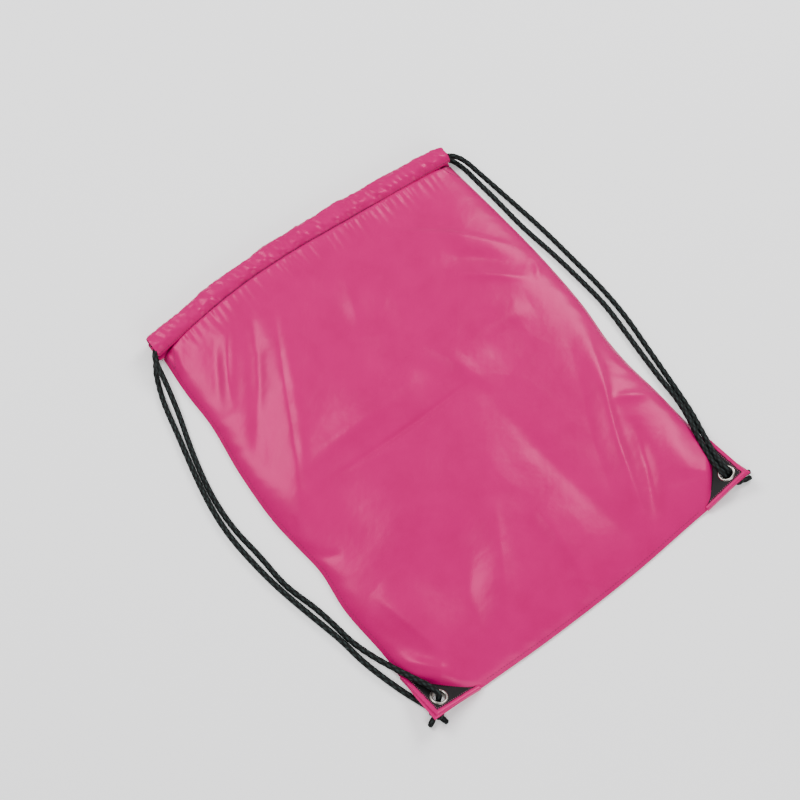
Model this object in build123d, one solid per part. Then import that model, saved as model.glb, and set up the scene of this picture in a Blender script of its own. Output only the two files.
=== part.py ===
from build123d import *
import os
from math import cos, pi, radians, sqrt, tan

# Drawstring sack, lying flat on its back with the mouth towards +Y. Millimetres.
# Origin: middle of the sack's own box, on the surface it lies on. The cords lie outside that box.

# Cloth body
BAG_WIDTH = 372.0
BAG_HEIGHT = 470.0
CLOTH = 0.6             # one ply, with the air and creases that lie against it
FLANGE = 6.0            # flat edge strip outside the puffed middle
PUFF_RUN = 34.0         # how far in from the flange the cloth rises
PUFF_TOP = 14.6         # top of the puffed front cloth
SEAM_WIDTH = 5.0
SEAM_HEIGHT = 2.8       # turned-in seam allowance between the two plies
EDGE_STITCH_INSET = 4.0

# Drawstring casing at the mouth
CASING_DEPTH = 21.0
CASING_CORNER = 2.4
CASING_END_INSET = 3.0  # the casing stops short of the side edges
CUFF_LENGTH = 7.0       # hemmed mouth of the tunnel at each end
CUFF_GAP = 0.3
CASING_FLAP = 3.0       # turned-in lip below the tunnel, which the stitch line holds
MOUTH_GAP = 6.0         # open mouth between the front and back casings

# Cord
CORD_DIAMETER = 5.0
CORD_PLAY = 0.3         # cord to tunnel, top and bottom
CORD_TAIL = CORD_DIAMETER

# Corner reinforcement
PATCH_LEG = 50.0
PATCH_THICKNESS = 1.2
CORNER_TILT = 27.0      # degrees, because the knot lies beneath the corner
CORNER_LIFT = 1.75      # underside of the patch along its inner edge
RISER_RUN = 12.0        # how far back from the patch the back cloth starts to rise
PATCH_STITCH_INSET = 3.0
PATCH_STITCH_END = 4.0

# Eyelet
EYELET_INSET = 13.1     # centre from each outer edge of the patch
EYELET_BORE = 11.0
EYELET_FLANGE = 17.0
EYELET_WALL = 0.6
EYELET_ROLL = 1.5       # height of the rolled flange
EYELET_ROLL_FILLET = 0.6
WASHER_DIAMETER = 16.4
WASHER_THICKNESS = 1.0
WASHER_CLEARANCE = 0.05
CURL = 0.6              # turned-over end of the barrel, below the washer
CURL_WIDTH = 1.6

# Knot behind each corner
KNOT_DIAMETER = 14.4
KNOT_HEIGHT = 9.4
KNOT_FILLET = 4.0
KNOT_LIFT = 0.3
KNOT_OUT = 25.0         # from the patch's inner edge, along the diagonal

# Stitches
THREAD = 0.5
BARTACK = (4.0, 1.2)

# Worked out
HALF_WIDTH = BAG_WIDTH / 2
BOTTOM = -BAG_HEIGHT / 2
TOP = BAG_HEIGHT / 2
CASING_HEIGHT = CORD_DIAMETER + 2 * CORD_PLAY + 2 * CLOTH
CASING_BOTTOM = TOP - CASING_DEPTH
CASING_END = HALF_WIDTH - CASING_END_INSET
FRONT_CASING_Z = CASING_HEIGHT + MOUTH_GAP
FLANGE_Z = CLOTH + SEAM_HEIGHT
STACK = 2 * PATCH_THICKNESS + 2 * CLOTH
SIDES = {"left": -1, "right": 1}

# Each cord is one loop: up through its eyelet, along the floor beside the sack, in at its own end of
# the front casing, round the far end, back through the back casing and down to the same corner.
# The points are placed by hand. The first strand is the front one, and the second the back one.
LEFT_FRONT_STRAND = [
    (-177.5, -226.5, 4.6), (-172.1, -221.1, 8.0), (-168.9, -217.9, 17.0), (-170.6, -208.5, 13.4),
    (-176.5, -195.0, 9.8), (-186.0, -174.5, 7.8), (-194.5, -153.0, 4.4), (-201.0, -131.0, 2.6),
    (-203.5, -112.0, 2.6), (-208.0, -88.0, 2.6), (-214.5, -67.0, 2.6), (-218.5, -49.0, 2.6),
    (-220.0, -17.0, 2.6), (-224.5, 17.0, 2.6), (-223.0, 53.0, 2.6), (-217.0, 86.0, 2.6),
    (-209.5, 116.0, 2.6), (-201.5, 143.0, 3.4), (-195.5, 168.0, 6.8), (-192.5, 189.5, 11.5),
    (-192.0, 207.0, 15.2), (-186.0, 218.5, 16.2),
]
LEFT_CASING_RUN = [
    (-173.0, 219.4, 16.2), (-151.0, 219.9, 16.2), (-113.0, 220.6, 16.2), (-57.0, 221.2, 16.2),
    (2.0, 221.4, 16.2), (62.0, 221.1, 16.2), (111.0, 220.5, 16.2), (151.0, 219.9, 16.2),
    (175.0, 219.3, 16.2), (187.0, 218.9, 16.2), (187.0, 218.9, 3.4), (175.0, 219.3, 3.4),
    (151.0, 219.9, 3.4), (111.0, 220.5, 3.4), (62.0, 221.1, 3.4), (2.0, 221.4, 3.4),
    (-57.0, 221.2, 3.4), (-113.0, 220.6, 3.4), (-151.0, 219.9, 3.4), (-173.0, 219.4, 3.4),
]
LEFT_BACK_STRAND = [
    (-186.0, 218.5, 3.4), (-194.5, 206.5, 2.9), (-200.0, 188.0, 2.6), (-206.5, 163.0, 2.6),
    (-213.5, 128.0, 2.6), (-222.5, 88.0, 2.6), (-229.5, 48.0, 2.6), (-231.5, 14.0, 2.6),
    (-228.5, -22.0, 2.6), (-223.5, -56.0, 2.6), (-214.0, -97.0, 2.6), (-206.7, -127.0, 2.6),
    (-203.5, -152.0, 2.6), (-196.5, -178.0, 2.6), (-191.0, -195.5, 2.6), (-185.5, -210.0, 3.2),
    (-181.0, -221.5, 4.6),
]
RIGHT_FRONT_STRAND = [
    (180.6, -225.2, 4.8), (175.2, -221.3, 8.2), (171.4, -217.6, 17.8), (172.8, -208.3, 14.3),
    (176.2, -195.0, 11.0), (183.5, -174.0, 8.4), (191.0, -152.0, 5.2), (196.0, -131.0, 2.6),
    (200.5, -104.0, 2.6), (205.5, -73.0, 2.6), (212.0, -35.0, 2.6), (214.5, 5.0, 2.6),
    (213.5, 48.0, 2.6), (212.0, 96.0, 2.6), (208.5, 137.0, 2.6), (205.0, 168.0, 4.0),
    (202.0, 190.0, 8.0), (199.0, 208.0, 12.5), (194.5, 222.0, 15.4), (186.0, 228.5, 16.2),
]
RIGHT_CASING_RUN = [
    (173.0, 227.9, 16.2), (151.0, 228.5, 16.2), (113.0, 229.2, 16.2), (58.0, 229.8, 16.2),
    (-3.0, 230.0, 16.2), (-62.0, 229.7, 16.2), (-111.0, 229.1, 16.2), (-151.0, 228.5, 16.2),
    (-175.0, 227.9, 16.2), (-187.0, 227.5, 16.2), (-187.0, 227.5, 3.4), (-175.0, 227.9, 3.4),
    (-151.0, 228.5, 3.4), (-111.0, 229.1, 3.4), (-62.0, 229.7, 3.4), (-3.0, 230.0, 3.4),
    (58.0, 229.8, 3.4), (113.0, 229.2, 3.4), (151.0, 228.5, 3.4), (173.0, 227.9, 3.4),
]
RIGHT_BACK_STRAND = [
    (186.0, 228.5, 3.4), (193.5, 221.5, 3.0), (196.0, 205.0, 2.6), (195.5, 182.0, 2.6),
    (196.8, 148.0, 2.6), (197.0, 107.0, 2.6), (201.5, 66.0, 2.6), (203.5, 26.0, 2.6),
    (204.5, -13.0, 2.6), (200.0, -47.0, 2.6), (195.5, -82.0, 2.6), (192.5, -108.0, 2.8),
    (190.4, -131.0, 4.2), (184.5, -153.0, 7.7), (176.5, -175.0, 9.2), (170.6, -195.5, 10.2),
    (167.6, -208.6, 12.6), (166.4, -218.2, 16.3), (169.8, -221.6, 7.2), (173.6, -227.4, 4.4),
]
CORDS = {
    "left": (LEFT_FRONT_STRAND, LEFT_CASING_RUN, LEFT_BACK_STRAND),
    "right": (RIGHT_FRONT_STRAND, RIGHT_CASING_RUN, RIGHT_BACK_STRAND),
}
TAILS = {
    "left": [
        [(-184.6, -230.2, 3.2), (-188.4, -232.2, 2.8), (-191.6, -233.4, 2.6)],
        [(-178.4, -233.6, 3.2), (-177.6, -237.4, 2.8), (-176.2, -240.6, 2.6)],
    ],
    "right": [
        [(184.6, -228.6, 3.2), (189.6, -229.0, 2.8), (194.6, -230.4, 2.6)],
        [(180.6, -233.8, 3.2), (185.6, -234.8, 2.8), (191.4, -234.6, 2.6)],
    ],
}


def outline(inset, leg):
    """The sack's flat shape drawn in by inset, its two bottom corners cut off by leg."""
    cut = leg - inset * (2 - sqrt(2))
    x = HALF_WIDTH - inset
    y = BOTTOM + inset
    corners = [(-x, y + cut), (-x + cut, y), (x - cut, y), (x, y + cut), (x, TOP + inset), (-x, TOP + inset)]
    return Polygon(*corners, align=None)


def below_casing(solid):
    """Keep what lies on the bottom side of the casing."""
    return solid & Pos(0, CASING_BOTTOM - BAG_HEIGHT, 0) * Box(2 * BAG_WIDTH, 2 * BAG_HEIGHT, 2 * BAG_HEIGHT)


def raise_corner(solid, side):
    """Turn a flat corner piece up about the patch's inner edge."""
    hinge = Axis((side * (HALF_WIDTH - PATCH_LEG), BOTTOM, CORNER_LIFT), (side, 1, 0))
    return solid.rotate(hinge, -side * CORNER_TILT)


def corner_triangle(side, leg, low, high, extra=0.0):
    """A flat corner triangle between two heights above the patch's underside."""
    x = side * HALF_WIDTH
    points = [
        (x, BOTTOM), (x - side * (leg + extra), BOTTOM),
        (x, BOTTOM + leg + extra),
    ]
    if side > 0:
        points.reverse()
    return Pos(0, 0, CORNER_LIFT + low) * extrude(Polygon(*points, align=None), high - low, dir=(0, 0, 1))


def eyelet_axis(side):
    return Pos(side * (HALF_WIDTH - EYELET_INSET), BOTTOM + EYELET_INSET, CORNER_LIFT)


def barrel_hole(side):
    """What the eyelet's barrel takes out of the cloth and patches."""
    return eyelet_axis(side) * Cylinder(EYELET_BORE / 2 + EYELET_WALL, 4 * STACK)


def corner_ply(side, low):
    """One ply of cloth between the two patches."""
    flat = corner_triangle(side, PATCH_LEG, low, low + CLOTH, extra=0.8) - barrel_hole(side)
    return raise_corner(flat, side)


def corner_layer(side, low, high, extra=0.0):
    """The room that one layer of the raised corner takes."""
    return raise_corner(corner_triangle(side, PATCH_LEG, low, high, extra), side)


def riser(side):
    """The strip of back cloth that climbs from the floor to the patch."""
    rise = CORNER_LIFT + PATCH_THICKNESS * cos(radians(CORNER_TILT))
    inner = PATCH_LEG + RISER_RUN * sqrt(2)
    low = corner_cut(side, inner, 0.0)
    high = corner_cut(side, PATCH_LEG, rise)
    return loft([low, high])


def corner_cut(side, leg, z):
    """A thin upright face across the corner, leg from the corner, one ply high."""
    x = side * HALF_WIDTH
    a = Vector(x - side * leg, BOTTOM, z)
    b = Vector(x, BOTTOM + leg, z)
    up = Vector(0, 0, CLOTH)
    return make_face(Polyline(a, b, b + up, a + up, close=True))


def front_panel():
    """Front cloth: a flat flange, a puffed middle and one ply in each corner."""
    lowest = Pos(0, 0, FLANGE_Z) * outline(FLANGE, PATCH_LEG)
    highest = Pos(0, 0, PUFF_TOP) * outline(FLANGE + PUFF_RUN, PATCH_LEG)
    puff = loft([lowest, highest])
    cloth = extrude(Pos(0, 0, FLANGE_Z) * outline(0, PATCH_LEG), CLOTH, dir=(0, 0, 1)) + puff
    cloth = below_casing(cloth - Pos(0, 0, -CLOTH) * puff)
    for side in SIDES.values():
        cloth -= corner_layer(side, 0, PATCH_THICKNESS + CLOTH, extra=0.8)
        cloth -= corner_layer(side, PATCH_THICKNESS + 2 * CLOTH, STACK)
        cloth += corner_ply(side, PATCH_THICKNESS + CLOTH)
    return cloth


def back_panel():
    """Back cloth: flat on the floor, climbing to each raised corner."""
    leg = PATCH_LEG + RISER_RUN * sqrt(2)
    cloth = below_casing(extrude(outline(0, leg), CLOTH, dir=(0, 0, 1)))
    for side in SIDES.values():
        cloth += riser(side) - corner_layer(side, 0, PATCH_THICKNESS)
        cloth += corner_ply(side, PATCH_THICKNESS)
    return cloth


def tunnel(start, end, z):
    """A stretch of casing: a flat sleeve round both cords, lying on height z."""
    middle = Pos((start + end) / 2, TOP - CASING_DEPTH / 2, z + CASING_HEIGHT / 2)
    outer = Plane.YZ * RectangleRounded(CASING_DEPTH, CASING_HEIGHT, CASING_CORNER)
    inner = Plane.YZ * RectangleRounded(
        CASING_DEPTH - 2 * CLOTH, CASING_HEIGHT - 2 * CLOTH, CASING_CORNER - CLOTH
    )
    length = abs(end - start)
    return middle * (extrude(outer, length / 2, both=True) - extrude(inner, length, both=True))


def casing(z, flap_z):
    """The tunnel between its cuffs, with the lip that is sewn to the panel."""
    end = CASING_END - CUFF_LENGTH - CUFF_GAP
    lip = Pos(0, CASING_BOTTOM - CASING_FLAP / 2 + CLOTH / 2, flap_z + CLOTH / 2) * Box(
        2 * end, CASING_FLAP + CLOTH, CLOTH
    )
    return tunnel(-end, end, z) + lip


def casing_thread(z):
    end = CASING_END - CUFF_LENGTH - CUFF_GAP
    return Pos(0, CASING_BOTTOM - CASING_FLAP / 2, z + THREAD / 2) * Box(2 * end, THREAD, THREAD)


def side_seam(side):
    low = BOTTOM + PATCH_LEG + RISER_RUN * sqrt(2)
    high = CASING_BOTTOM - CASING_FLAP
    place = Pos(side * (HALF_WIDTH - SEAM_WIDTH / 2), (low + high) / 2, CLOTH + SEAM_HEIGHT / 2)
    return place * Box(SEAM_WIDTH, high - low, SEAM_HEIGHT)


def bottom_seam():
    half = HALF_WIDTH - PATCH_LEG - RISER_RUN * sqrt(2)
    return Pos(0, BOTTOM + SEAM_WIDTH / 2, CLOTH + SEAM_HEIGHT / 2) * Box(2 * half, SEAM_WIDTH, SEAM_HEIGHT)


def side_thread(side):
    low = BOTTOM + PATCH_LEG + EDGE_STITCH_INSET
    high = CASING_BOTTOM - CASING_FLAP
    z = FLANGE_Z + CLOTH + THREAD / 2
    return Pos(side * (HALF_WIDTH - EDGE_STITCH_INSET), (low + high) / 2, z) * Box(THREAD, high - low, THREAD)


def bottom_thread():
    half = HALF_WIDTH - PATCH_LEG - EDGE_STITCH_INSET
    z = FLANGE_Z + CLOTH + THREAD / 2
    return Pos(0, BOTTOM + EDGE_STITCH_INSET, z) * Box(2 * half, THREAD, THREAD)


def slit_bartack(side):
    """The bar of close stitches that ends the side seam below the casing."""
    width, depth = BARTACK
    z = FLANGE_Z + CLOTH + THREAD / 2
    y = CASING_BOTTOM - CASING_FLAP + depth
    return Pos(side * (HALF_WIDTH - width / 2 - THREAD), y, z) * Box(width, depth, THREAD)


def patch(side, low):
    flat = corner_triangle(side, PATCH_LEG, low, low + PATCH_THICKNESS) - barrel_hole(side)
    return raise_corner(flat, side)


def patch_thread(side):
    """Needle thread on the front patch and bobbin thread on the back one, along both outer edges."""
    x = side * (HALF_WIDTH - PATCH_STITCH_INSET)
    y = BOTTOM + PATCH_STITCH_INSET
    reach = PATCH_LEG - 2 * PATCH_STITCH_INSET - PATCH_STITCH_END
    rows = []
    for z in (CORNER_LIFT + STACK + THREAD / 2, CORNER_LIFT - THREAD / 2):
        along = Pos(x - side * reach / 2, y, z) * Box(reach + THREAD, THREAD, THREAD)
        up = Pos(x, y + reach / 2, z) * Box(THREAD, reach + THREAD, THREAD)
        rows.append(raise_corner(along + up, side))
    return Compound(children=rows)


def eyelet(side):
    """Barrel, rolled flange on the front and the end curled over the washer."""
    bore = EYELET_BORE / 2
    base = eyelet_axis(side)
    lowest = -WASHER_THICKNESS - CURL
    flange = Cylinder(EYELET_FLANGE / 2, EYELET_ROLL, align=(Align.CENTER, Align.CENTER, Align.MIN))
    flange -= Cylinder(bore, 4 * EYELET_ROLL)
    flange = fillet(flange.faces().sort_by(Axis.Z)[-1].edges(), EYELET_ROLL_FILLET)
    barrel = Cylinder(bore + EYELET_WALL, STACK - lowest, align=(Align.CENTER, Align.CENTER, Align.MIN))
    barrel -= Cylinder(bore, 4 * STACK)
    curl = Cylinder(bore + CURL_WIDTH, CURL, align=(Align.CENTER, Align.CENTER, Align.MIN))
    curl -= Cylinder(bore, 4 * CURL)
    flat = Pos(0, 0, STACK) * flange + Pos(0, 0, lowest) * barrel + Pos(0, 0, lowest) * curl
    return raise_corner(base * flat, side)


def washer(side):
    ring = Cylinder(WASHER_DIAMETER / 2, WASHER_THICKNESS, align=(Align.CENTER, Align.CENTER, Align.MAX))
    ring -= Cylinder(EYELET_BORE / 2 + EYELET_WALL + WASHER_CLEARANCE, 4 * WASHER_THICKNESS)
    return raise_corner(eyelet_axis(side) * ring, side)


def knot(side):
    """The stopper knot pulled up under the corner."""
    x = side * (HALF_WIDTH - PATCH_LEG / 2 + KNOT_OUT / sqrt(2))
    y = BOTTOM + PATCH_LEG / 2 - KNOT_OUT / sqrt(2)
    bun = Pos(x, y, KNOT_LIFT + KNOT_HEIGHT / 2) * Cylinder(KNOT_DIAMETER / 2, KNOT_HEIGHT)
    return fillet(bun.edges().filter_by(GeomType.CIRCLE), KNOT_FILLET)


def arc_radii(points):
    """The arc at each inner point: 0.45 of the shorter run over the tangent of half the turn."""
    radii = []
    for before, here, after in zip(points, points[1:], points[2:]):
        first, second = here - before, after - here
        turn = radians(first.get_angle(second))
        radii.append(0.45 * min(first.length, second.length) / tan(turn / 2))
    return radii


def tube(points, radii, diameter):
    """A cord along straight runs and tangent arcs, checked against its section times its length."""
    path = FilletPolyline(*points, radius=radii)
    solid = sweep(Plane(origin=path @ 0, z_dir=path % 0) * Circle(diameter / 2), path=path)
    share = solid.volume / (path.length * pi * diameter**2 / 4)
    return solid, path.length, share


def cord_nodes(name):
    """One cord in three stretches that meet face to face in the middle of a run."""
    stretches = CORDS[name]
    points = [Vector(*p) for stretch in stretches for p in stretch]
    radii = arc_radii(points)
    print(name, "cord arc radii:", " ".join(f"{r:.0f}" for r in radii))
    first = len(stretches[0])
    second = first + len(stretches[1])
    cut_in = (points[first - 1] + points[first]) / 2
    cut_out = (points[second - 1] + points[second]) / 2
    pieces = {
        f"{name}_cord_front_strand": (points[:first] + [cut_in], radii[: first - 1]),
        f"{name}_cord_casing_run": ([cut_in] + points[first:second] + [cut_out], radii[first - 1 : second - 1]),
        f"{name}_cord_back_strand": ([cut_out] + points[second:], radii[second - 1 :]),
    }
    nodes = {}
    total = 0.0
    for node, (route, bends) in pieces.items():
        nodes[node], length, share = tube(route, bends, CORD_DIAMETER)
        total += length
        print(f"{node}: {length:.0f} mm, volume is {share:.4f} of section times length")
    print(f"{name} cord: {total:.0f} mm between its ends in the knot")
    return nodes


def cord_tails(name):
    """The two cut ends that stick out of the knot."""
    tails = []
    for route in TAILS[name]:
        points = [Vector(*p) for p in route]
        tails.append(tube(points, arc_radii(points), CORD_TAIL)[0])
    return Compound(children=tails)


def build():
    nodes = {
        "front_panel": front_panel(),
        "back_panel": back_panel(),
        "front_casing": casing(FRONT_CASING_Z, PUFF_TOP),
        "back_casing": casing(0.0, CLOTH),
        "front_casing_thread": casing_thread(PUFF_TOP + CLOTH),
        "back_casing_thread": casing_thread(2 * CLOTH),
        "bottom_seam": bottom_seam(),
        "bottom_thread": bottom_thread(),
    }
    for name, side in SIDES.items():
        end = side * CASING_END
        start = end - side * CUFF_LENGTH
        nodes[f"{name}_front_cuff"] = tunnel(start, end, FRONT_CASING_Z)
        nodes[f"{name}_back_cuff"] = tunnel(start, end, 0.0)
        nodes[f"{name}_side_seam"] = side_seam(side)
        nodes[f"{name}_side_thread"] = side_thread(side)
        nodes[f"{name}_slit_bartack"] = slit_bartack(side)
        nodes[f"{name}_front_patch"] = patch(side, STACK - PATCH_THICKNESS)
        nodes[f"{name}_back_patch"] = patch(side, 0.0)
        nodes[f"{name}_patch_thread"] = patch_thread(side)
        nodes[f"{name}_eyelet"] = eyelet(side)
        nodes[f"{name}_eyelet_washer"] = washer(side)
        nodes[f"{name}_cord_knot"] = knot(side)
        nodes[f"{name}_cord_tails"] = cord_tails(name)
        nodes.update(cord_nodes(name))
    return nodes


os.makedirs("parts", exist_ok=True)
for node, solid in build().items():
    export_step(solid, f"parts/{node}.step")
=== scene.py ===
"""Looks of a drawstring sack that lies flat on its back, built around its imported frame."""

import logging
import math
from dataclasses import dataclass
from enum import Enum
from typing import Callable, Iterable, Sequence

import bmesh
import bpy
import numpy as np
from mathutils import Matrix, Vector


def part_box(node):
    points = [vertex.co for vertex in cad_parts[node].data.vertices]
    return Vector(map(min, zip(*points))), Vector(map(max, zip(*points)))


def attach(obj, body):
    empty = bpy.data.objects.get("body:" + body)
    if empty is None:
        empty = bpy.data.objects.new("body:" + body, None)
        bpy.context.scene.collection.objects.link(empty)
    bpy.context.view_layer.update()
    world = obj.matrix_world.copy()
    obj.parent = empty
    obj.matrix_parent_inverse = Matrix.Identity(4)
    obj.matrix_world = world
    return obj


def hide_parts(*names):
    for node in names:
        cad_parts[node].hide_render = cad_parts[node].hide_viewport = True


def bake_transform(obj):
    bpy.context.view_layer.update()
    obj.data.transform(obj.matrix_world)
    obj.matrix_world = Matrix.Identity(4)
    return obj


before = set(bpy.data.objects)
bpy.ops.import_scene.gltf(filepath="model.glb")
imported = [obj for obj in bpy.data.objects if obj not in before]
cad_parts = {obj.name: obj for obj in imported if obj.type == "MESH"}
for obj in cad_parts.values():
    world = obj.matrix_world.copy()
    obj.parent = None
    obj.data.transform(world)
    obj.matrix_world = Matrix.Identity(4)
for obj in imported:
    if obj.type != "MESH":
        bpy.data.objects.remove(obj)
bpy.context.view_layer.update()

MM = 0.001
LOG = logging.getLogger("drawstring_sack")
Field = Callable[[np.ndarray, np.ndarray], np.ndarray]
Points = Sequence[tuple[float, float]]

HALF_WIDTH = 186.0  # half the sack's width, in millimetres
LIE_LOW = -235.0  # the bottom edge


class Side(Enum):
    """The two halves of the sack: which way they lie, and the cord that drags each one in."""

    LEFT = ("left", -1, "right_cord")
    RIGHT = ("right", 1, "left_cord")

    @property
    def label(self) -> str:
        """The side's name, as the nodes spell it."""
        return self.value[0]

    @property
    def sign(self) -> int:
        """-1 to the left, 1 to the right."""
        return self.value[1]

    @property
    def puller(self) -> str:
        """The body that drags this half of the mouth inwards."""
        return self.value[2]


Halves = dict[str, dict[Side, bpy.types.Object]]


# ---------------------------------------------------------------- materials


def linear(colour: str) -> tuple[float, float, float, float]:
    """Turn an sRGB hex colour to linear light.

    Args:
        colour: Six hex digits after a #.

    Returns:
        Red, green, blue and an alpha of 1.
    """
    channels = [int(colour[i : i + 2], 16) / 255 for i in (1, 3, 5)]
    return tuple(c / 12.92 if c <= 0.04045 else ((c + 0.055) / 1.055) ** 2.4 for c in channels) + (1.0,)


def add_node(
    tree: bpy.types.NodeTree, kind: str, settings: dict[str, object] | None = None, **inputs: object
) -> bpy.types.Node:
    """Add a node, set its properties and fill or link its inputs.

    Args:
        tree: The material's node tree.
        kind: The node's type name.
        settings: Properties of the node.
        **inputs: Socket values or source sockets, by the socket's name with _ for a space, or by i and its number.

    Returns:
        The new node.
    """
    node = tree.nodes.new(kind)
    for name, value in (settings or {}).items():
        setattr(node, name, value)
    for name, value in inputs.items():
        key = int(name[1:]) if name[0] == "i" and name[1:].isdigit() else name.replace("_", " ")
        if isinstance(value, bpy.types.NodeSocket):
            tree.links.new(value, node.inputs[key])
        else:
            node.inputs[key].default_value = value
    return node


@dataclass(frozen=True)
class Finish:
    """What every finish shares: a name and its shader's plain values."""

    name: str
    roughness: float
    specular: float = 0.5
    metallic: float = 0.0
    tint: str = "#ffffff"

    def start(self) -> tuple[bpy.types.Material, bpy.types.NodeTree, bpy.types.Node]:
        """Make the material with its shader.

        Returns:
            The material, its node tree and its Principled shader.
        """
        material = bpy.data.materials.new(self.name)
        material.use_nodes = True
        tree = material.node_tree
        shader = next(n for n in tree.nodes if n.type == "BSDF_PRINCIPLED")
        shader.inputs["Roughness"].default_value = self.roughness
        shader.inputs["Specular IOR Level"].default_value = self.specular
        shader.inputs["Metallic"].default_value = self.metallic
        shader.inputs["Specular Tint"].default_value = linear(self.tint)
        return material, tree, shader

    @staticmethod
    def mottle(shader: bpy.types.Node, mask: bpy.types.NodeSocket, shades: Sequence[tuple[float, str]]) -> None:
        """Colour the surface between a few shades by a mask.

        Args:
            shader: The material's Principled shader.
            mask: Where each shade shows, from 0 to 1.
            shades: The mask's value and the hex colour of the lowest and highest shade, then of any between.
        """
        tree = shader.id_data
        ramp = add_node(tree, "ShaderNodeValToRGB", Fac=mask)
        stops = ramp.color_ramp.elements
        for stop, (position, colour) in zip(stops, shades):
            stop.position, stop.color = position, linear(colour)
        for position, colour in shades[2:]:
            stops.new(position).color = linear(colour)
        tree.links.new(ramp.outputs["Color"], shader.inputs["Base Color"])


@dataclass(frozen=True)
class CoatedNylon(Finish):
    """Plain-weave 210 denier nylon with a coating on its back."""

    base: str = "#b2005f"
    deep: str = "#ae005c"
    pale: str = "#b50061"
    thread_mm: float = 0.7  # drawn about three times as coarse as the real weave, so that it shows
    crinkle_mm: float = 7.0
    crease_mm: float = 26.0
    weave_depth_mm: float = 0.08
    crinkle_depth_mm: float = 0.6
    bands_per_scale: float = 20.0  # the wave texture draws this many bands to one unit of its scale

    def build(self) -> bpy.types.Material:
        """Weave, crinkle and dye variation.

        Returns:
            The cloth's material.
        """
        # Calendered filament yarn: a satin surface whose soft facets light up, finely crinkled from its packet.
        material, tree, shader = self.start()
        place = add_node(tree, "ShaderNodeTexCoord").outputs["Object"]
        cloud = add_node(
            tree, "ShaderNodeTexNoise", Vector=place, Scale=1 / (self.crease_mm * MM), Detail=3.0, Roughness=0.55
        )
        self.mottle(shader, cloud.outputs["Fac"], [(0.3, self.deep), (0.72, self.pale), (0.5, self.base)])
        scale = 1 / (self.thread_mm * MM) / self.bands_per_scale
        warp, weft = (
            add_node(
                tree, "ShaderNodeTexWave", {"bands_direction": way},
                Vector=place, Scale=scale, Distortion=0.6, Detail=1.0,
            )
            for way in ("X", "Y")
        )
        weave = add_node(
            tree, "ShaderNodeMath", {"operation": "MAXIMUM"}, i0=warp.outputs["Fac"], i1=weft.outputs["Fac"]
        )
        crinkle = add_node(
            tree, "ShaderNodeTexNoise",
            Vector=place, Scale=1 / (self.crinkle_mm * MM), Detail=4.0, Roughness=0.6, Distortion=0.4,
        )
        fine = add_node(
            tree, "ShaderNodeBump", Strength=0.10, Distance=self.weave_depth_mm * MM, Height=weave.outputs["Value"]
        )
        broad = add_node(
            tree, "ShaderNodeBump",
            Strength=0.10, Distance=self.crinkle_depth_mm * MM,
            Height=crinkle.outputs["Fac"], Normal=fine.outputs["Normal"],
        )
        tree.links.new(broad.outputs["Normal"], shader.inputs["Normal"])
        rough = add_node(
            tree, "ShaderNodeMapRange",
            Value=cloud.outputs["Fac"], To_Min=self.roughness - 0.02, To_Max=self.roughness + 0.02,
        )
        tree.links.new(rough.outputs["Result"], shader.inputs["Roughness"])
        return material


@dataclass(frozen=True)
class BraidedPolyester(Finish):
    """Round braid of black polyester yarn."""

    base: str = "#010202"
    # colour of the yarn crowns, a painted highlight
    crown_and_highlight: str = "#202a29"
    yarn_mm: float = 0.45
    yarn_depth_mm: float = 0.15

    def build(self) -> bpy.types.Material:
        """Painted highlight on the yarn crowns and painted shade between the yarns, both from the braid's own relief,
        and fibres over them.

        Returns:
            The cord's material.
        """
        # Textured filament: matt, in the cord's own near-black, with painted shade between the yarns and a painted
        # highlight on each yarn's crown.
        material, tree, shader = self.start()
        relief = add_node(tree, "ShaderNodeAttribute", {"attribute_name": "relief"})
        # the relief ramp paints shade between the yarns and a highlight on their crowns
        self.mottle(shader, relief.outputs["Fac"], [(0.5, self.base), (0.95, self.crown_and_highlight)])
        place = add_node(tree, "ShaderNodeTexCoord").outputs["Object"]
        fibre = add_node(tree, "ShaderNodeTexNoise", Vector=place, Scale=1 / (self.yarn_mm * MM), Detail=2.0)
        bump = add_node(
            tree, "ShaderNodeBump", Strength=0.35, Distance=self.yarn_depth_mm * MM, Height=fibre.outputs["Fac"]
        )
        tree.links.new(bump.outputs["Normal"], shader.inputs["Normal"])
        return material


@dataclass(frozen=True)
class Leatherette(Finish):
    """Embossed synthetic leather on a knitted backing."""

    base: str = "#030304"
    worn: str = "#0a0a0c"
    grain_mm: float = 1.1
    grain_depth_mm: float = 0.2
    cloud_mm: float = 9.0

    def build(self) -> bpy.types.Material:
        """Pebble grain with slightly worn areas.

        Returns:
            The patches' material.
        """
        # Rolled with a pebble grain: black and soft, with small crowns that catch a wide light.
        material, tree, shader = self.start()
        place = add_node(tree, "ShaderNodeTexCoord").outputs["Object"]
        pebble = add_node(
            tree, "ShaderNodeTexVoronoi", Vector=place, Scale=1 / (self.grain_mm * MM), Randomness=0.9
        )
        cloud = add_node(tree, "ShaderNodeTexNoise", Vector=place, Scale=1 / (self.cloud_mm * MM), Detail=3.0)
        self.mottle(shader, cloud.outputs["Fac"], [(0.35, self.base), (0.8, self.worn)])
        bump = add_node(
            tree, "ShaderNodeBump", {"invert": True},
            Strength=0.5, Distance=self.grain_depth_mm * MM, Height=pebble.outputs["Distance"],
        )
        tree.links.new(bump.outputs["Normal"], shader.inputs["Normal"])
        return material


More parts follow.
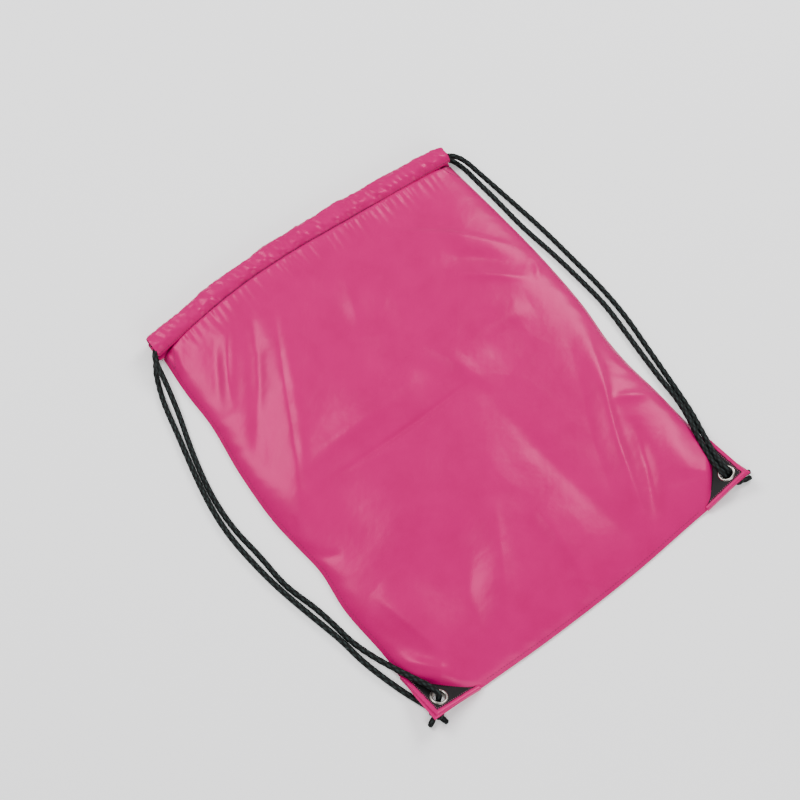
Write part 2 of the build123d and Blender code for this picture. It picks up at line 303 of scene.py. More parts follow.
@dataclass(frozen=True)
class NickelPlate(Finish):
    """Nickel-plated brass, stamped and tumbled."""

    base: str = "#b5b1aa"
    dull: str = "#98928a"
    cloud_mm: float = 4.0

    def build(self) -> bpy.types.Material:
        """Polish that varies a little over the ring.

        Returns:
            The eyelets' material.
        """
        # A tumbled plating: warm bright metal with duller spots, so its highlights are soft-edged.
        material, tree, shader = self.start()
        place = add_node(tree, "ShaderNodeTexCoord").outputs["Object"]
        cloud = add_node(tree, "ShaderNodeTexNoise", Vector=place, Scale=1 / (self.cloud_mm * MM), Detail=3.0)
        self.mottle(shader, cloud.outputs["Fac"], [(0.35, self.dull), (0.65, self.base)])
        rough = add_node(
            tree, "ShaderNodeMapRange",
            Value=cloud.outputs["Fac"], To_Min=self.roughness * 0.8, To_Max=self.roughness * 1.5,
        )
        tree.links.new(rough.outputs["Result"], shader.inputs["Roughness"])
        return material


@dataclass(frozen=True)
class SewingThread(Finish):
    """Twisted polyester sewing thread."""

    base: str = "#5c1136"
    light: str = "#7d2450"
    twist_mm: float = 0.8

    def build(self) -> bpy.types.Material:
        """Two shades of the thread's own colour mixed by fine noise, the darker one a painted shade for the twist's
        grooves.

        Returns:
            The thread's material.
        """
        # Spun and twisted: matt, with painted shade for the grooves of the twist laid by fine noise, so a row reads as
        # single stitches.
        material, tree, shader = self.start()
        place = add_node(tree, "ShaderNodeTexCoord").outputs["Object"]
        twist_shade = add_node(tree, "ShaderNodeTexNoise", Vector=place, Scale=1 / (self.twist_mm * MM), Detail=2.0)
        # fine noise paints shade for the twist's grooves between two shades of the thread
        self.mottle(shader, twist_shade.outputs["Fac"], [(0.35, self.base), (0.65, self.light)])
        return material


# ---------------------------------------------------------------- mesh tools


def shaped_grid(columns: int, rows: int, place: Callable[[np.ndarray, np.ndarray], np.ndarray]) -> bmesh.types.BMesh:
    """Make a grid and lay it out by a function of its own two coordinates.

    Args:
        columns: Faces along the first coordinate.
        rows: Faces along the second coordinate.
        place: Gives points in millimetres for coordinates from 0 to 1.

    Returns:
        The shaped grid, with a UV map of the two coordinates.
    """
    bm = bmesh.new()
    bm.loops.layers.uv.new("cloth")
    bmesh.ops.create_grid(bm, x_segments=columns, y_segments=rows, size=0.5, calc_uvs=True)
    flat = np.array([v.co[:2] for v in bm.verts]) + 0.5
    for vertex, point in zip(bm.verts, place(flat[:, 0], flat[:, 1]) * MM):
        vertex.co = point
    return bm


def finish_mesh(
    bm: bmesh.types.BMesh, name: str, material: bpy.types.Material, normals: bool = False
) -> bpy.types.Object:
    """Turn a bmesh into a smooth-shaded object at the origin.

    Args:
        bm: The finished bmesh, which is freed.
        name: The object's name.
        material: Its only material.
        normals: Keep the normals stored in the seam layer, so that two halves shade as one cloth.

    Returns:
        The new object.
    """
    mesh = bpy.data.meshes.new(name)
    layer = bm.verts.layers.float_vector.get("seam_normal")
    kept = [tuple(v[layer]) for v in bm.verts] if normals else []
    bm.to_mesh(mesh)
    bm.free()
    mesh.materials.append(material)
    mesh.polygons.foreach_set("use_smooth", [True] * len(mesh.polygons))
    if kept:
        mesh.normals_split_custom_set_from_vertices(kept)
        mesh.attributes.remove(mesh.attributes["seam_normal"])
    piece = bpy.data.objects.new(name, mesh)
    bpy.context.collection.objects.link(piece)
    return piece


def cut_in_halves(
    bm: bmesh.types.BMesh, name: str, material: bpy.types.Material, thickness: float
) -> dict[Side, bpy.types.Object]:
    """Split one cloth at the centre line into two pieces that shade as one, and give them their thickness.

    Args:
        bm: The whole cloth in one layer, with an edge line at x = 0. It is freed.
        name: What the two pieces' names end with.
        material: The cloth's material.
        thickness: The cloth's thickness in millimetres.

    Returns:
        The piece of each side.
    """
    bm.normal_update()
    layer = bm.verts.layers.float_vector.new("seam_normal")
    for vertex in bm.verts:
        vertex[layer] = vertex.normal
    halves = {}
    for side in Side:
        half = bm.copy()
        spare = [f for f in half.faces if f.calc_center_median().x * side.sign < 0]
        bmesh.ops.delete(half, geom=spare, context="FACES")
        bmesh.ops.solidify(half, geom=half.faces, thickness=thickness * MM)
        half.normal_update()
        kept = half.verts.layers.float_vector["seam_normal"]
        for vertex in half.verts:
            if vertex.normal.dot(vertex[kept]) < 0:
                vertex[kept] = -vertex[kept]
        halves[side] = finish_mesh(half, f"{side.label}_{name}", material, normals=True)
    bm.free()
    return halves


def gather(piece: bpy.types.Object) -> None:
    """Bake one piece's transform into its mesh.

    Args:
        piece: A piece of cloth, or a row of stitches in it.
    """
    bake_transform(piece)


def waves(low: float, high: float, count: int, seed: int) -> Field:
    """A smooth random field of plane waves.

    Args:
        low: Shortest wavelength in millimetres.
        high: Longest wavelength in millimetres.
        count: Number of waves.
        seed: Seed of the random draws.

    Returns:
        A field with a spread of about 1.
    """
    draw = np.random.RandomState(seed)
    lengths = np.exp(draw.uniform(np.log(low), np.log(high), count))
    angles = draw.uniform(0, 2 * np.pi, count)
    phases = draw.uniform(0, 2 * np.pi, count)
    weights = np.sqrt(lengths / high)

    def field(x: np.ndarray, y: np.ndarray) -> np.ndarray:
        """The sum of the waves at each point."""
        total = np.zeros_like(x)
        for length, angle, phase, weight in zip(lengths, angles, phases, weights):
            total += weight * np.sin(2 * np.pi * (x * np.cos(angle) + y * np.sin(angle)) / length + phase)
        return total / np.sqrt((weights**2).sum())

    return field


def smooth_line(points: Points) -> Callable[[np.ndarray], np.ndarray]:
    """A smooth curve through points that rise in their first coordinate.

    Args:
        points: Pairs of a position along the line and its value.

    Returns:
        The value at any position, by cubic Hermite spans.
    """
    t, v = np.array(points, float).T
    slope = np.gradient(v, t)

    def at(q: np.ndarray) -> np.ndarray:
        """Value at each position."""
        q = np.clip(q, t[0], t[-1])
        i = np.clip(np.searchsorted(t, q) - 1, 0, len(t) - 2)
        h = t[i + 1] - t[i]
        s = (q - t[i]) / h
        return (
            v[i] * (1 + 2 * s) * (1 - s) ** 2 + slope[i] * h * s * (1 - s) ** 2
            + v[i + 1] * s**2 * (3 - 2 * s) + slope[i + 1] * h * s**2 * (s - 1)
        )

    return at


# ---------------------------------------------------------------- the lie of the cloth


@dataclass(frozen=True)
class Fold:
    """A ridge, or a groove where its height is negative, along a few points, in millimetres.

    A fold with a skirt slopes down over that width on the left of its line, and is steep on the right.
    """

    points: Points
    width: float
    height: float
    skirt: float = 0.0
    flank: float = 0.7  # how far a steep side reaches, as a share of the width
    rounds: int = 2  # times that the line's corners are cut

    def rise(self, x: np.ndarray, y: np.ndarray) -> np.ndarray:
        """Height that the fold adds, fading at both ends.

        Args:
            x: Positions across the sack.
            y: Positions along it.

        Returns:
            The added height at each point.
        """
        ends = [np.array(p, float) for p in self.points]
        for _ in range(self.rounds):
            cut = [q for a, b in zip(ends, ends[1:]) for q in (0.75 * a + 0.25 * b, 0.25 * a + 0.75 * b)]
            ends = [ends[0], *cut[1:-1], ends[-1]]
        spans = [np.linalg.norm(b - a) for a, b in zip(ends, ends[1:])]
        best = np.full(x.shape, np.inf)
        along = np.zeros(x.shape)
        left = np.zeros(x.shape, bool)
        done = 0.0
        for a, b, span in zip(ends, ends[1:], spans):
            d = (b - a) / span
            s = np.clip((x - a[0]) * d[0] + (y - a[1]) * d[1], 0, span)
            gap = np.hypot(x - a[0] - s * d[0], y - a[1] - s * d[1])
            nearer = gap < best
            best = np.where(nearer, gap, best)
            along = np.where(nearer, done + s, along)
            left = np.where(nearer, (y - a[1]) * d[0] > (x - a[0]) * d[1], left)
            done += span
        share = along / done
        fade = np.clip(4 * share * (1 - share), 0, 1) ** 1.1
        past = np.sqrt(best**2 + self.width**2) - self.width
        crest = np.exp(-past / (self.flank * self.width))
        if self.skirt:
            crest = np.where(left, np.clip(1 - past / self.skirt, 0, 1) ** 1.5, crest)
        return self.height * fade * crest


@dataclass
class ClothLie:
    """How the sack lies: its outline, its puffed height and its folds, in millimetres."""

    seam_z: float = 1.6
    puff: float = 10.5
    puff_run: float = 17.0
    mouth_rise: float = 1.9
    mouth_run: float = 20.0
    swell_height: float = 1.3
    rumple_height: float = 0.14
    crinkle_height: float = 0.03
    crease_height: float = 0.25
    crease_spread: float = 0.3
    fold_gain: float = 2.2
    gather_height: float = 0.95
    gather_run: float = 11.0
    tuck: float = 1.6
    tuck_run: float = 1.2
    seam_pucker: float = 0.3
    seam_pucker_run: float = 8.0
    hem_roll: float = 2.56
    roll_run: float = 4.5
    edge_turn: float = 0.9
    edge_turn_run: float = 0.8
    patch_leg: float = 50.0
    patch_overlap: float = 1.5
    patch_fall: float = 7.5
    corner_lift: float = 1.75
    corner_tilt: float = 27.0
    ply_top: float = 2.3
    ply_bottom: float = 1.3
    ground_gap: float = 0.25
    back_rise: float = 0.9
    back_run: float = 2.5
    back_rumple: float = 0.12
    back_climb: float = 14.0
    eyelet_x: float = 171.4
    eyelet_y: float = -220.4
    eyelet_hole: float = 6.9

    def __post_init__(self) -> None:
        """Set the outline, the random fields and the folds."""
        self.left = smooth_line([
            (-234, -186.4), (-204, -186.4), (-166, -184.8), (-104, -188.4), (-62, -184.8), (-34, -187.6),
            (-4, -190.6), (58, -189.2), (122, -182.6), (160, -183.0), (206, -180.2),
        ])
        self.right = smooth_line([
            (-234, 185.4), (-190, 183.0), (-154, 181.4), (-114, 180.8), (-74, 178.6),
            (-44, 180.0), (-4, 186.0), (56, 189.4), (136, 188.4), (206, 185.2),
        ])
        self.bottom = smooth_line([
            (-187, -234.0), (-140, -234.6), (-63, -238.0), (42, -238.6), (132, -234.4), (187, -233.4),
        ])
        self.stitch = smooth_line([
            (-183, 204.9), (-130, 213.5), (-61, 220.6), (0, 220.4), (39, 218.4), (110, 215.6), (183, 212.4),
        ])
        self.top = smooth_line([
            (-183, 226.4), (-120, 236.0), (-46, 242.4), (20, 242.6), (89, 239.6), (183, 231.8),
        ])
        self.swell = waves(90, 190, 12, seed=3)
        self.rumple = waves(20, 52, 30, seed=8)
        self.crease = waves(90, 170, 12, seed=14)
        self.crinkle = waves(5, 12, 30, seed=21)
        self.pucker = waves(5.5, 11, 12, seed=5)
        self.folds = [
            # the crease where the sack was folded in two for its packet, and the band above it
            Fold([(-120, -1), (-40, -3), (44, -1)], 2.2, -0.9),
            Fold([(-150, 14), (-116, 30), (-50, 27), (14, 36)], 9, 1.3),
            # folds that hang from the gathered mouth, left
            Fold([(-172, -20), (-133, 50), (-98, 119), (-62, 188)], 5, 1.7, skirt=20),
            Fold([(-84, 194), (-110, 140), (-143, 96), (-176, 50)], 6, -1.3),
            Fold([(-162, 110), (-148, 138), (-129, 169), (-110, 194)], 4, 1.5, skirt=16),
            Fold([(-128, 190), (-150, 154), (-172, 116)], 5, -1.0),
            Fold([(-162, 204), (-169, 190), (-175, 172)], 3.2, 1.1),
            # folds at the mouth's right end
            Fold([(182, 80), (160, 104), (134, 134), (100, 164), (66, 188)], 4.5, 1.6, skirt=28),
            Fold([(182, 80), (178, 60), (164, 47)], 3.5, 1.3),
            Fold([(96, 106), (130, 78), (162, 50)], 4.5, 1.1),
            Fold([(104, 128), (136, 100), (168, 66)], 7, -1.1),
            Fold([(20, 176), (4, 140), (-14, 100)], 9, 1.2, skirt=40),
            # the facet above the middle, and the long soft groove below it
            Fold([(30, 66), (42, 22), (58, -24)], 9, 1.7, skirt=58),
            Fold([(52, 28), (88, 34), (140, 26)], 9, 1.1),
            Fold([(42, -4), (47, -70), (50, -134), (60, -234)], 10, -0.9),
            Fold([(8, -128), (5, -186), (-2, -236)], 7, 1.9, skirt=50),
            # the long ridge that runs down from the pulled-in right edge, with its branch and pockets
            Fold([(72, -228), (96, -167), (117, -120), (141, -78), (158, -42), (176, -12)], 4.5, 2.3, skirt=18),
            Fold([(134, -96), (158, -108), (181, -120)], 4.5, 1.5),
            Fold([(150, -68), (164, -80), (176, -94)], 7, -1.3),
            Fold([(140, -122), (114, -176), (86, -216)], 6, -1.7),
            Fold([(152, -150), (152, -176), (140, -204)], 14, 1.3),
            # the lower left
            Fold([(-106, -236), (-64, -180), (-18, -104)], 7, 1.7, skirt=36),
            Fold([(-62, -132), (-92, -160), (-108, -206)], 9, -1.0),
            Fold([(-160, -110), (-152, -150), (-142, -196)], 5, 1.6, skirt=38),
            Fold([(-186, -116), (-170, -160), (-150, -204)], 7, -1.5),
            Fold([(-184, -168), (-163, -190), (-150, -206), (-153, -218)], 4, 1.5),
            Fold([(-174, -8), (-181, -16), (-187, -26)], 3, -1.1),
            Fold([(-187, -40), (-178, -54), (-160, -66)], 4, -1.4),
            Fold([(-14, -204), (-4, -216), (10, -238)], 4, 0.8),
            Fold([(-128, 20), (-134, -40), (-120, -90)], 16, -0.9),
        ]

    def inside(self, x: np.ndarray, y: np.ndarray) -> tuple[np.ndarray, np.ndarray]:
        """Distances in from the edges.

        Args:
            x: Positions across the sack.
            y: Positions along it.

        Returns:
            Distance in from the side and bottom edges, and how far each point lies past the patch's inner edge.
        """
        side = np.minimum(x - self.left(y), self.right(y) - x)
        edge = np.maximum(np.minimum(side, y - self.bottom(x)), 0)
        reach = (np.abs(x) - (HALF_WIDTH - self.patch_leg / 2)) - (y - (LIE_LOW + self.patch_leg / 2))
        return edge, reach / math.sqrt(2)

    def front(self, x: np.ndarray, y: np.ndarray) -> np.ndarray:
        """Height of the front cloth's upper face.

        Args:
            x: Positions across the sack.
            y: Positions along it.

        Returns:
            Heights in millimetres.
        """
        edge, past = self.inside(x, y)
        room = 1 - np.exp(-edge / self.puff_run)
        loose = room**1.5
        from_casing = np.maximum(self.stitch(x) - y, 0)
        rise = self.seam_z + self.roll(edge) + self.puff * room
        rise += self.mouth_rise * np.exp(-from_casing / self.mouth_run)
        rise += loose * self.swell_height * self.swell(x, y)
        rise += loose * self.rumple_height * self.rumple(x, y)
        rise += loose * self.crinkle_height * self.crinkle(x, y)
        rise += loose * self.crease_height * np.exp(-np.abs(self.crease(x, y)) / self.crease_spread)
        rise += loose * self.fold_gain * sum(f.rise(x, y) for f in self.folds)
        gathered = np.exp(-from_casing / self.gather_run) * (1 - np.exp(-from_casing / 2))
        rise += self.gather_height * gathered * self.pucker(x, y * 0.12)
        rise -= self.tuck * np.exp(-from_casing / self.tuck_run)
        drawn = np.exp(-edge / self.seam_pucker_run) * np.clip(edge / 3, 0, 1)
        rise += self.seam_pucker * drawn * self.pucker(x * 0.3, 0.45 * y + 0.3 * x)
        # The loose cloth rolls over the patch's inner edge and falls to the ply within a few millimetres.
        ply = self.ply(past, self.ply_top)
        roll = np.clip((self.patch_overlap - past) / self.patch_fall, 0, 1)
        roll = np.sqrt(np.clip(1 - (1 - roll) ** 2, 0, 1))
        loose_top = np.maximum(ply, ply + (rise - ply) * roll)
        turn = self.edge_turn * np.exp(-edge / self.edge_turn_run)
        return np.where(past < self.patch_overlap, loose_top, ply) - turn

    def back(self, x: np.ndarray, y: np.ndarray) -> np.ndarray:
        """Height of the back cloth's lower face.

        Args:
            x: Positions across the sack.
            y: Positions along it.

        Returns:
            Heights in millimetres.
        """
        edge, past = self.inside(x, y)
        ground = self.ground_gap + self.back_rise * np.exp(-edge / self.back_run)
        ground += self.back_rumple * np.abs(self.rumple(x, y))
        climb = np.clip((past + self.back_climb) / self.back_climb, 0, 1)
        return ground * (1 - climb) + self.ply(past, self.ply_bottom) * climb

    def in_eyelet(self, point: Vector) -> bool:
        """Whether a point of the cloth lies where an eyelet's barrel goes through."""
        return math.hypot(abs(point.x) - self.eyelet_x, point.y - self.eyelet_y) < self.eyelet_hole

    def ply(self, past: np.ndarray, level: float) -> np.ndarray:
        """Height of a ply in the raised corner, by its distance past the hinge and its level in the stack."""
        tilt = math.radians(self.corner_tilt)
        return self.corner_lift + level / math.cos(tilt) + np.maximum(past, -3) * math.tan(tilt)

    def roll(self, edge: np.ndarray) -> np.ndarray:
        """The seam allowance swells the edge a little."""
        return self.hem_roll * (1 - np.exp(-edge / self.roll_run))


@dataclass
class Sheets:
    """The front and back cloth of the sack, each in two halves."""

    lie: ClothLie
    cloth: bpy.types.Material
    columns: int = 250
    rows: int = 310
    back_columns: int = 120
    back_rows: int = 150
    thickness: float = 0.3
    cut: tuple[float, float] = (0.188, 0.455)  # one half's width and length before it was laid, in metres

    def plan(self, u: np.ndarray, v: np.ndarray) -> tuple[np.ndarray, np.ndarray]:
        """Where a point of the cloth lies in plan.

        Args:
            u: Across the cloth, with the centre line at a half.
            v: Up from the bottom seam to the casing's stitch line.

        Returns:
            Positions across and along, in millimetres.
        """
        lie = self.lie
        guess = np.where(u < 0.5, -HALF_WIDTH, HALF_WIDTH) * np.abs(2 * u - 1)
        y = lie.bottom(guess) + (lie.stitch(guess) - lie.bottom(guess)) * v
        x = np.where(u < 0.5, lie.left(y) * (1 - 2 * u), lie.right(y) * (2 * u - 1))
        return x, y

    def build(self) -> Halves:
        """Make the four halves, dress them and hide the frame's cloth nodes.

        Returns:
            The pieces by sheet and side.
        """
        made = {}
        for name, height, columns, rows, inward in (
            ("front_cloth", self.lie.front, self.columns, self.rows, True),
            ("back_cloth", self.lie.back, self.back_columns, self.back_rows, False),
        ):
            def place(u: np.ndarray, v: np.ndarray, height: Field = height) -> np.ndarray:
                """Lay the cloth out at its height."""
                x, y = self.plan(u, v)
                return np.column_stack([x, y, height(x, y)])

            bm = shaped_grid(columns, rows, place)
            if not inward:
                bmesh.ops.reverse_faces(bm, faces=bm.faces)
            punched = [f for f in bm.faces if self.lie.in_eyelet(f.calc_center_median() / MM)]
            bmesh.ops.delete(bm, geom=punched, context="FACES")
            made[name] = cut_in_halves(bm, name, self.cloth, self.thickness)
        for side in Side:
            front, back = made["front_cloth"][side], made["back_cloth"][side]
            for piece in (front, back):
                gather(piece)
        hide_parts("front_panel", "left_side_seam", "bottom_seam")
        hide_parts("front_panel", "right_side_seam")
        for side in Side:
            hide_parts("back_panel")
        return made


@dataclass
class Casing:
    """One drawstring tunnel: a puffed, gathered sleeve along the mouth, in two halves. Millimetres."""

    lie: ClothLie
    cloth: bpy.types.Material
    name: str
    middle_z: float
    half_height: float
    drop: float = 0.0
    end: float = 184.0
    overlap: float = 0.6
    stitched_share: float = 0.55
    gather_height: float = 0.55
    stitched_gather: float = 0.35
    slow_wave: float = 0.9
    edge_ruffle: float = 0.5
    mouth: float = 5.0
    mouth_pinch: float = 0.1
    columns: int = 300
    around: int = 30
    thickness: float = 0.3
    seed: int = 12

    def build(self) -> dict[Side, bpy.types.Object]:
        """Make the two halves.

        Returns:
            The piece of each side.
        """
        lie = self.lie
        ruffle = waves(5.5, 14, 16, seed=self.seed)
        slow = waves(22, 60, 10, seed=self.seed + 1)

        def place(u: np.ndarray, v: np.ndarray) -> np.ndarray:
            """Wrap the sleeve round its middle line."""
            x = (2 * u - 1) * self.end
            turn = 2 * np.pi * v
            low, high = lie.stitch(x), lie.top(x)
            middle = (low + high) / 2
            half = (high - low) / 2 + self.overlap
            up, out = np.sin(turn), np.cos(turn)
            flat = np.sign(out) * np.abs(out) ** 0.8  # -1 at the stitch line, 1 at the folded top
            stitched = (1 - flat) / 2
            ease = self.stitched_share + (1 - self.stitched_share) * np.clip((flat + 1) / 0.5, 0, 1)
            gathers = np.clip(ruffle(x + 5 * flat, flat * 8), -1.3, 1.6)
            height = self.half_height * np.sign(up) * np.abs(up) ** 0.75 * ease
            height += up * (self.gather_height + self.stitched_gather * stitched) * gathers
            level = np.zeros_like(x)
            wander = self.slow_wave * slow(x, level) + self.edge_ruffle * ruffle(x, level)
            across = flat * half + np.clip(flat, 0, 1) ** 3 * wander
            near_mouth = np.clip((np.abs(x) - (self.end - self.mouth)) / self.mouth, 0, 1)
            across *= 1 - self.mouth_pinch * near_mouth**2
            sink = self.drop * np.clip(-flat, 0, 1) ** 3
            return np.column_stack([x, middle + across, self.middle_z + height - sink])

        bm = shaped_grid(self.columns, self.around, place)
        bmesh.ops.remove_doubles(bm, verts=bm.verts, dist=0.01 * MM)
        bmesh.ops.recalc_face_normals(bm, faces=bm.faces)
        halves = cut_in_halves(bm, self.name, self.cloth, self.thickness)
        for side, piece in halves.items():
            gather(piece)
            cuff = self.name.replace("casing", "cuff")
            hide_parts(self.name, f"{side.label}_{cuff}")
        return halves


# ---------------------------------------------------------------- raised corners


@dataclass
class Corner:
    """A bottom corner, made flat and then turned up about its patch's inner edge. Millimetres."""

    side: Side
    leg: float = 50.0
    lift: float = 1.75
    tilt: float = 27.0
    stack: float = 3.6
    inset: float = 13.1
    bore: float = 5.5
    hem_wave: float = 0.18

    def raised(self, points: np.ndarray) -> np.ndarray:
        """Turn flat points up with the corner.

        Args:
            points: Points with heights above the patch's underside.

        Returns:
            The turned points.
        """
        hinge = Vector((self.side.sign * (HALF_WIDTH - self.leg), LIE_LOW, 0.0))
        axis = Vector((self.side.sign, 1, 0)).normalized()
        turn = Matrix.Rotation(math.radians(-self.side.sign * self.tilt), 3, axis)
        lift = Vector((0, 0, self.lift))
        return np.array([turn @ (Vector(p) - hinge) + hinge + lift for p in points])

    def hem(self, cloth: bpy.types.Material) -> bpy.types.Object:
        """Make the turned-over edge of the cloth along both outer edges of the patches.

        Args:
            cloth: The cloth's material.

        Returns:
            The new piece.
        """
        # The hem's section: how far in from the patch's edge, and how high.
        wrap = [
            (3.0, 4.15), (2.2, 4.4), (0.9, 4.35), (-0.3, 4.0), (-0.75, 3.1), (-0.8, 1.8), (-0.75, 0.5),
            (-0.3, -0.4), (0.9, -0.75), (2.2, -0.8), (3.0, -0.55), (2.9, -0.1), (2.9, 3.7),
        ]
        loop = np.array(wrap + wrap[:1])
        wave = waves(7, 16, 8, seed=17)

        def place(u: np.ndarray, v: np.ndarray) -> np.ndarray:
            """Follow one leg, the apex and the other leg."""
            spot = v * (len(loop) - 1)
            inset = np.interp(spot, np.arange(len(loop)), loop[:, 0])
            z = np.interp(spot, np.arange(len(loop)), loop[:, 1])
            t = 2 * u - 1
            inset = inset + self.hem_wave * wave(60 * t, 0 * t) * (inset > 1.5)
            x = np.where(t < 0, HALF_WIDTH - self.leg + (self.leg - inset) * (1 + t), HALF_WIDTH - inset)
            y = np.where(t < 0, LIE_LOW + inset, LIE_LOW + inset + (self.leg - inset) * t)
            return self.raised(np.column_stack([self.side.sign * x, y, z]))

        bm = shaped_grid(72, 39, place)
        bmesh.ops.remove_doubles(bm, verts=bm.verts, dist=0.002 * MM)
        bmesh.ops.holes_fill(bm, edges=bm.edges, sides=0)
        bmesh.ops.recalc_face_normals(bm, faces=bm.faces)
        piece = finish_mesh(bm, f"{self.side.label}_corner_hem", cloth)
        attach(piece, "bag")
        return piece

    def eyelet(self, metal: bpy.types.Material) -> bpy.types.Object:
        """Spin the rolled eyelet from its section.

        Args:
            metal: The eyelet's material.

        Returns:
            The new piece.
        """
        top = self.stack
        section = [
            (self.bore, -1.2), (self.bore, top - 0.2), (5.62, top + 0.55), (6.0, top + 1.1), (6.6, top + 1.42),
            (7.2, top + 1.4), (7.8, top + 1.1), (8.25, top + 0.6), (8.45, top + 0.1), (8.3, top + 0.02),
            (6.1, top + 0.02), (6.1, -1.06), (7.1, -1.08), (7.2, -1.4), (6.7, -1.66), (6.0, -1.6), (5.6, -1.4),
        ]
        middle = Vector((self.side.sign * (HALF_WIDTH - self.inset), LIE_LOW + self.inset, 0))
        bm = bmesh.new()
        ring = [bm.verts.new(middle + Vector((r, 0, z))) for r, z in section]
        edges = [bm.edges.new(pair) for pair in zip(ring, ring[1:] + ring[:1])]
        bmesh.ops.spin(bm, geom=ring + edges, cent=middle, axis=(0, 0, 1), angle=math.tau, steps=72, use_merge=True)
        bmesh.ops.recalc_face_normals(bm, faces=bm.faces)
        for vertex, point in zip(bm.verts, self.raised(np.array([v.co[:] for v in bm.verts])) * MM):
            vertex.co = point
        piece = finish_mesh(bm, f"{self.side.label}_rolled_eyelet", metal)
        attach(piece, "bag")
        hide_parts(f"{self.side.label}_eyelet")
        return piece


# ---------------------------------------------------------------- stitches


@dataclass
class StitchRow:
    """A row of single lockstitches along a line, in millimetres."""

    points: Sequence[Sequence[float]]
    length: float = 2.3
    pitch: float = 3.0
    width: float = 0.55
    height: float = 0.4

    def sew(self, bm: bmesh.types.BMesh, lift: Field | None) -> None:
        """Add the row's stitches to a mesh.

        Args:
            bm: The mesh that takes them.
            lift: Height of the surface at a point, or None where the points carry their own.
        """
        line = [Vector(p) for p in self.points]
        for a, b in zip(line, line[1:]):
            count = max(1, round((b - a).length / self.pitch))
            for i in range(count):
                middle = a.lerp(b, (i + 0.5) / count)
                ahead = a.lerp(b, (i + 0.5) / count + 0.5 * self.length / (b - a).length)
                if lift is not None:
                    for p in (middle, ahead):
                        p.resize_3d()
                        p.z = float(lift(np.array([p.x]), np.array([p.y]))[0]) + self.height / 3
                along = (ahead - middle).normalized()
                across = along.cross(Vector((0, 0, 1))).normalized()
                over = across.cross(along)
                made = bmesh.ops.create_uvsphere(bm, u_segments=6, v_segments=4, radius=1.0)
                for vertex in made["verts"]:
                    c = vertex.co.copy()
                    vertex.co = (middle + along * c.z * self.length / 2 + across * c.x * self.width / 2
                                 + over * c.y * self.height / 2) * MM


@dataclass
class Stitching:
    """Every visible seam of the sack. Millimetres."""

    lie: ClothLie
    thread: bpy.types.Material
    patch_thread: bpy.types.Material
    edge_inset: float = 3.4
    patch_inset: float = 4.1
    patch_row_end: float = 7.0
    spot_step: float = 9.0
    casing_end: float = 183.0
    casing_level: float = 14.75
    back_level: float = 0.35
    centre_gap: float = 0.8

    def row_piece(
        self, name: str, rows: Iterable[StitchRow], lift: Field | None, material: bpy.types.Material
    ) -> bpy.types.Object:
        """Sew several rows into one piece.

        Args:
            name: The piece's name.
            rows: The rows in it.
            lift: Height of the surface under them, or None where the points carry their own.
            material: The thread's material.

        Returns:
            The new piece.
        """
        bm = bmesh.new()
        for row in rows:
            row.sew(bm, lift)
        piece = finish_mesh(bm, name, material)
        return piece

    def build(self) -> None:
        """Make the stitch rows of both sides, and bind the patch rows to the sack's body."""
        for side in Side:
            for name, node, rows, lift in self.plan_rows(side):
                piece = self.row_piece(f"{side.label}_{name}", rows, lift, self.thread)
                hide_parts(node)
                gather(piece)
            patch = self.row_piece(f"{side.label}_patch_stitches", self.patch_rows(side), None, self.patch_thread)
            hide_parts(f"{side.label}_patch_thread")
            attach(patch, "bag")

    def plan_rows(self, side: Side) -> list[tuple[str, str, list[StitchRow], Field | None]]:
        """Plan one side's rows along the casings, the side seam, the bottom seam and the slit.

        Args:
            side: The half of the sack that they are in.

        Returns:
            Each piece's name, the node it stands for, its rows and the surface they lie on.
        """
        lie, s = self.lie, side.sign
        edge = lie.left if side is Side.LEFT else lie.right
        xs = np.linspace(self.centre_gap, self.casing_end, 22) * s
        casing = [(x, y + 0.4) for x, y in zip(xs, lie.stitch(xs))]
        ys = np.arange(-182, 200, self.spot_step)
        flank = [(x - s * self.edge_inset, y) for x, y in zip(edge(ys), ys)]
        xb = np.arange(self.centre_gap, 132, self.spot_step) * s
        base = [(x, y + self.edge_inset) for x, y in zip(xb, lie.bottom(xb))]
        y0 = float(lie.stitch(np.array([s * 180.0]))[0])
        x0 = float(edge(np.array([y0 - 8]))[0])
        slit = [
            StitchRow([(x0 - s * 3.2, y0 - 1), (x0 - s * 3.2, y0 - 19)], pitch=2.6),
            StitchRow([(x0 - s * 14.0, y0), (x0 - s * 4.0, y0 - 18)], pitch=2.6),
        ]
        heavy = {"length": 2.5, "height": 0.9, "width": 0.75}
        light = {"length": 1.9, "pitch": 2.9, "width": 0.4, "height": 0.3}

        def on_casing(x: np.ndarray, y: np.ndarray) -> np.ndarray:
            """Height of the casing's stitched edge."""
            return np.maximum(lie.front(x, y), self.casing_level) + 0.25

        back = [(x, y, self.back_level) for x, y in casing]
        return [
            ("front_casing_stitches", "front_casing_thread", [StitchRow(casing, **heavy)], on_casing),
            ("back_casing_stitches", "back_casing_thread", [StitchRow(back)], None),
            ("side_stitches", f"{side.label}_side_thread", [StitchRow(flank, **light)], lie.front),
            ("bottom_stitches", "bottom_thread", [StitchRow(base, **light)], lie.front),
            ("slit_stitches", f"{side.label}_slit_bartack", slit, lie.front),
        ]

    def patch_rows(self, side: Side) -> list[StitchRow]:
        """Plan the dotted rows along the two outer edges of a corner's patches, front and back.

        Args:
            side: The corner that they are in.

        Returns:
            The front row and the back row.
        """
        corner = Corner(side)
        far, near = corner.leg - self.patch_row_end, self.patch_inset
        flat = [
            (HALF_WIDTH - far, LIE_LOW + near), (HALF_WIDTH - near, LIE_LOW + near), (HALF_WIDTH - near, LIE_LOW + far),
        ]
        rows = []
        for level in (corner.stack + 0.12, -0.12):
            spots = corner.raised(np.array([(side.sign * x, y, level) for x, y in flat]))
            rows.append(StitchRow(spots.tolist(), length=1.25, pitch=2.2, width=0.65, height=0.5))
        return rows


# ---------------------------------------------------------------- cords

